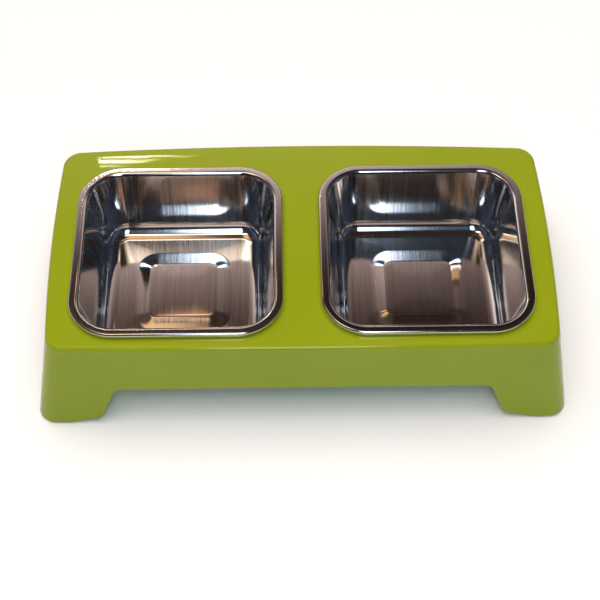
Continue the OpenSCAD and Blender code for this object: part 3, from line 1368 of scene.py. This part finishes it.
@dataclass(frozen=True)
class PhotoCamera:
    """The camera at the photograph's angle.

    It stands at a distance from the point that it looks at. The tilt is how far it looks down,
    the yaw how far to the right, and the roll turns the picture.
    """

    look_at: Triple = (-0.001587, -0.051371, 0.0770)
    tilt: float = math.radians(55.42)
    yaw: float = math.radians(1.143)
    roll: float = math.radians(0.254)
    distance: float = 0.85224
    lens: float = 78.90
    sensor_width: float = 36.0
    near_limit: float = 0.01

    def build(self) -> Object:
        """Makes the camera and sets it as the scene's own.

        Returns:
            The camera.
        """
        ahead = np.array([
            math.sin(self.yaw) * math.cos(self.tilt),
            math.cos(self.yaw) * math.cos(self.tilt),
            -math.sin(self.tilt),
        ])
        right = np.array([math.cos(self.yaw), -math.sin(self.yaw), 0])
        up = np.cross(right, ahead)
        rolled_right = math.cos(self.roll) * right + math.sin(self.roll) * up
        rolled_up = math.cos(self.roll) * up - math.sin(self.roll) * right
        camera = new_object("camera", bpy.data.cameras.new("camera"))
        camera.data.lens = self.lens
        camera.data.sensor_width = self.sensor_width
        camera.data.clip_start = self.near_limit
        place = np.array(self.look_at) - self.distance * ahead
        turned = Matrix([rolled_right, rolled_up, -ahead]).transposed()
        camera.matrix_world = Matrix.Translation(Vector(place)) @ turned.to_4x4()
        bpy.context.scene.camera = camera
        return camera


@dataclass(frozen=True)
class Softbox:
    """A rectangular light that fades out towards its edges.

    The fade has four shares of its size, for the two ends of its width and the two ends of its
    height: over that share the light grows from nothing to its full strength, and from the edge
    colour to its own. The falloff is the power that the strength is raised to. Glossy surfaces
    always mirror the light, and lights_matt says whether it falls on matt ones too.
    """

    name: str
    place: Triple
    target: Triple
    width: float
    height: float
    colour: Triple
    radiance: float
    edge_colour: Triple
    fade: Fade
    falloff: float = 1.0
    lights_matt: bool = True

    def build(self) -> Object:
        """Makes the light.

        Returns:
            The light, linked to the scene.
        """
        light = bpy.data.lights.new(self.name, "AREA")
        light.shape = "RECTANGLE"
        light.size = self.width
        light.size_y = self.height
        light.energy = self.radiance * math.pi * self.width * self.height
        board = NodeBoard(light, "ShaderNodeOutputLight")
        across = board.add("NewGeometry").outputs["Parametric"]
        axes = board.add("SeparateXYZ", {"Vector": across}).outputs
        start_x, end_x, start_y, end_y = self.fade
        share = board.smooth(axes["X"], 0.0, start_x)
        for axis, edge, inner in (("X", 1.0, 1 - end_x), ("Y", 0.0, start_y), ("Y", 1.0, 1 - end_y)):
            share = board.calculate("MULTIPLY", share, board.smooth(axes[axis], edge, inner))
        colour = board.mixed(share, (*self.edge_colour, 1), (*self.colour, 1))
        strength = board.calculate("POWER", share, self.falloff)
        board.finish(board.add("Emission", {"Color": colour, "Strength": strength}))
        lamp = new_object(self.name, light)
        ahead = Vector(self.target) - Vector(self.place)
        lamp.location = self.place
        lamp.rotation_euler = ahead.to_track_quat("-Z", "Y").to_euler()
        lamp.visible_camera = False
        lamp.visible_diffuse = self.lights_matt
        return lamp


@dataclass(frozen=True)
class FarBars:
    """Thin warm lights far behind the object, one above the other, with their left ends in line.

    Each bar has its height above the floor, its length, its thickness and its radiance.
    """

    left_end: float = -0.33
    distance: float = 0.95
    colour: Triple = (1.0, 0.95, 0.80)
    edge_colour: Triple = (1.0, 0.85, 0.35)
    fade: Fade = (0.7, 0.03, 0.3, 0.3)
    bars: tuple[tuple[float, float, float, float], ...] = (
        (1.081, 0.19, 0.0035, 55.0),
        (1.0915, 0.12, 0.006, 60.0),
        (1.104, 0.06, 0.003, 30.0),
    )

    def build(self) -> None:
        """Makes the lights."""
        for number, (height, length, thickness, radiance) in enumerate(self.bars, start=1):
            middle = self.left_end + length / 2
            Softbox(
                name=f"far_bar_{number}",
                place=(middle, self.distance, height),
                target=(middle, 0, 0),
                width=length,
                height=thickness,
                colour=self.colour,
                radiance=radiance,
                edge_colour=self.edge_colour,
                fade=self.fade,
                lights_matt=False,
            ).build()


@dataclass(frozen=True)
class Daylight:
    """Broad light from afar, which falls on matt surfaces and which no glossy one mirrors.

    The angle is how wide it looks, and the tilt turns it from straight down, first about X and
    then about Y.
    """

    name: str = "daylight"
    colour: Triple = (1.0, 0.88, 0.84)
    strength: float = 3.35
    angle: float = math.radians(80)
    tilt: tuple[float, float] = (math.radians(-12), math.radians(-6))

    def build(self) -> Object:
        """Makes the light.

        Returns:
            The light, linked to the scene.
        """
        light = bpy.data.lights.new(self.name, "SUN")
        light.color = self.colour
        light.energy = self.strength
        light.angle = self.angle
        lamp = new_object(self.name, light)
        lamp.rotation_euler = (*self.tilt, 0)
        lamp.visible_glossy = False
        return lamp


@dataclass(frozen=True)
class Surroundings:
    """A dim room: a brown wall behind, cool shade in front and to the sides.

    The colours along it go from -1 at the front to 1 at the back. The other pairs are the parts
    of a direction between which the sides take over, the back begins and its dimmer right half
    begins. The right share is how bright that half is.
    """

    along: tuple[tuple[float, Colour], ...] = (
        (-1.00, (0.012, 0.011, 0.011, 1)),
        (-0.77, (0.018, 0.022, 0.030, 1)),
        (-0.55, (0.040, 0.056, 0.088, 1)),
        (-0.25, (0.020, 0.026, 0.036, 1)),
        (0.00, (0.040, 0.026, 0.018, 1)),
        (0.34, (0.130, 0.088, 0.070, 1)),
        (0.58, (0.040, 0.026, 0.019, 1)),
        (0.80, (0.080, 0.054, 0.044, 1)),
        (1.00, (0.090, 0.066, 0.056, 1)),
    )
    shade: Colour = (0.065, 0.090, 0.150, 1)
    side_fade: tuple[float, float] = (0.55, 0.92)
    back_fade: tuple[float, float] = (-0.05, 0.1)
    right_fade: tuple[float, float] = (-0.03, 0.06)
    right_share: float = 0.48

    def build(self) -> bpy.types.World:
        """Makes the world's node tree from the direction alone.

        Returns:
            The world.
        """
        board = NodeBoard(bpy.data.worlds.new("room"), "ShaderNodeOutputWorld")
        direction = board.add("TexCoord").outputs["Generated"]
        axes = board.add("SeparateXYZ", {"Vector": direction}).outputs
        spread = {"Value": axes["Y"], "From Min": -1.0, "From Max": 1.0}
        ramp = board.add("ValToRGB", {"Fac": board.add("MapRange", spread).outputs["Result"]})
        stops = ramp.color_ramp.elements
        stops.remove(stops[-1])
        for number, (across, colour) in enumerate(self.along):
            stop = stops.new((across + 1) / 2) if number else stops[0]
            stop.position = (across + 1) / 2
            stop.color = colour
        sideways = board.calculate("ABSOLUTE", axes["X"])
        dark = board.smooth(sideways, *self.side_fade)
        colour = board.mixed(dark, ramp.outputs["Color"], self.shade)
        behind = board.smooth(axes["Y"], *self.back_fade)
        to_right = board.calculate("MULTIPLY", board.smooth(axes["X"], *self.right_fade), behind)
        dimmed = board.calculate("MULTIPLY", to_right, 1 - self.right_share)
        strength = board.calculate("SUBTRACT", 1.0, dimmed)
        return board.finish(board.add("Background", {"Color": colour, "Strength": strength}))


@dataclass
class Studio:
    """The pale floor, the soft lights and the room that the steel mirrors."""

    floor_half: float = 20.0
    lights: tuple[Daylight | Softbox | FarBars, ...] = (
        Daylight(),
        Daylight(
            name="front_fill",
            colour=(0.22, 1.0, 0.20),
            strength=0.32,
            angle=math.radians(60),
            tilt=(math.radians(72), 0.0),
        ),
        Softbox(
            name="window",
            place=(0.0, -0.783, 1.136),
            target=(0, 0, 0.05),
            width=0.48,
            height=0.90,
            colour=(0.92, 0.97, 1.0),
            radiance=8.4,
            edge_colour=(0.35, 0.62, 1.0),
            fade=(0.30, 0.30, 0.25, 0.25),
            falloff=1.5,
        ),
        Softbox(
            name="lamp",
            place=(-0.16, -0.064, 0.57),
            target=(-0.16, -0.064, 0),
            width=0.36,
            height=0.146,
            colour=(1.0, 0.94, 0.82),
            radiance=4.0,
            edge_colour=(1.0, 0.66, 0.36),
            fade=(0.30, 0.30, 0.45, 0.45),
            lights_matt=False,
        ),
        Softbox(
            name="lamp_glow",
            place=(-0.20, 0.115, 0.57),
            target=(-0.20, 0.115, 0),
            width=0.28,
            height=0.25,
            colour=(1.0, 0.60, 0.29),
            radiance=1.15,
            edge_colour=(1.0, 0.46, 0.20),
            fade=(0.32, 0.32, 0.12, 0.25),
            falloff=1.5,
            lights_matt=False,
        ),
        Softbox(
            name="back_card",
            place=(-0.10, 0.396, 0.34),
            target=(-0.10, 0.396, 0),
            width=1.8,
            height=0.612,
            colour=(1.0, 0.91, 0.85),
            radiance=1.66,
            edge_colour=(1.0, 0.62, 0.56),
            fade=(0.47, 0.53, 0.5, 0.5),
            falloff=2.0,
            lights_matt=False,
        ),
        Softbox(
            name="ember",
            place=(-0.10, 0.148, 0.335),
            target=(-0.10, 0.148, 0),
            width=0.095,
            height=0.046,
            colour=(1.0, 0.58, 0.34),
            radiance=2.2,
            edge_colour=(1.0, 0.50, 0.26),
            fade=(0.45, 0.45, 0.45, 0.45),
            lights_matt=False,
        ),
        FarBars(),
    )

    def build(self) -> None:
        """Makes the floor, the lights and the surroundings."""
        half = self.floor_half
        corners = [[-half, -half, 0], [half, -half, 0], [half, half, 0], [-half, half, 0]]
        maker = MeshMaker()
        maker.cap(maker.ring(np.array(corners)))
        maker.build("floor", StudioPaper().material())
        maker = MeshMaker()
        around = circle(half)
        maker.bands([
            maker.ring(np.column_stack([around, np.full(len(around), level)])) for level in (half, 0)
        ])
        backdrop = maker.build("backdrop", PaleBackdrop().material())
        backdrop.visible_diffuse = False
        backdrop.visible_glossy = False
        backdrop.visible_shadow = False
        for light in self.lights:
            light.build()
        bpy.context.scene.world = Surroundings().build()
        bpy.context.scene.view_settings.view_transform = "Standard"


def main() -> None:
    """Builds the camera, the studio and each piece, and reports them."""
    logging.basicConfig(level=logging.INFO, format="%(message)s")
    PhotoCamera().build()
    Studio().build()
    pieces = [Stand().build(MouldedPlastic().material())]
    steel = DrawnSteel().material()
    pieces += [PressedBowl(node).build(steel) for node in BOWLS]
    rubber = FootRubber().material()
    pieces += [PushInFoot(node).build(rubber) for node in FEET]
    for piece in pieces:
        LOG.info("%s: %d faces", piece.name, len(piece.data.polygons))


if __name__ == "__main__":
    main()
